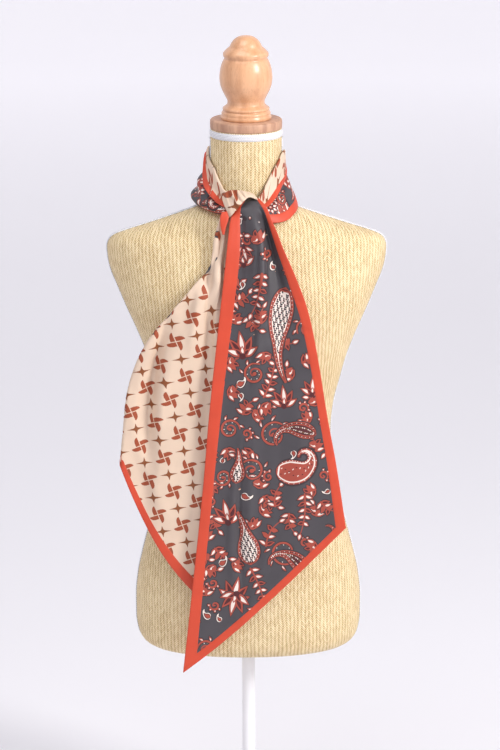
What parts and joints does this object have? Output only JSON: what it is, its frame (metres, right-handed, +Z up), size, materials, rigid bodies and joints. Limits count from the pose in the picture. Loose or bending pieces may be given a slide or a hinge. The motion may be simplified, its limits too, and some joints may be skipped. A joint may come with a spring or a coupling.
{
  "type": "double-sided scarf on a dress form",
  "caption": "Double-sided scarf with slanted ends and plain edging, knotted round the neck of a limbless straw-covered dress form on a pole stand.",
  "frame": {"origin": "centre of the base plate's underside, on the floor", "axes": "+Z up along the pole, -Y towards the front where the scarf is tied, +X towards the wearer's left"},
  "size_m": [0.3918, 0.28, 1.1468],
  "materials": {
    "paisley_face": "satin-smooth dark grey cloth with a paisley print",
    "pinwheel_face": "satin-smooth beige cloth with a small pinwheel and star print",
    "rust_edging": "plain smooth cloth",
    "straw": "woven straw cloth over a padded body",
    "white_trim": "knitted tape",
    "turned_wood": "glossy varnish",
    "plain_wood": "matt varnish",
    "white_paint": "semi-gloss"
  },
  "bodies": {
    "root": {"front_tail": "paisley_face", "front_tail_edging": "rust_edging", "back_tail": "pinwheel_face", "back_tail_edging": "rust_edging", "knot_wrap": "pinwheel_face", "knot_twist": "rust_edging", "neck_loop_right": "paisley_face", "neck_loop_back": "paisley_face", "neck_loop_left": "paisley_face", "neck_flap_right": "pinwheel_face", "neck_flap_back": "pinwheel_face", "neck_flap_left": "pinwheel_face", "flap_edging_right": "rust_edging", "flap_edging_back": "rust_edging", "flap_edging_left": "rust_edging", "hem_edging_right": "rust_edging", "hem_edging_back": "rust_edging", "hem_edging_left": "rust_edging", "form_body": "straw", "neck_trim": "white_trim", "side_trim_left": "white_trim", "side_trim_right": "white_trim", "neck_disc": "plain_wood", "finial": "turned_wood", "pole": "white_paint", "base_plate": "white_paint"}
  },
  "joints": []
}
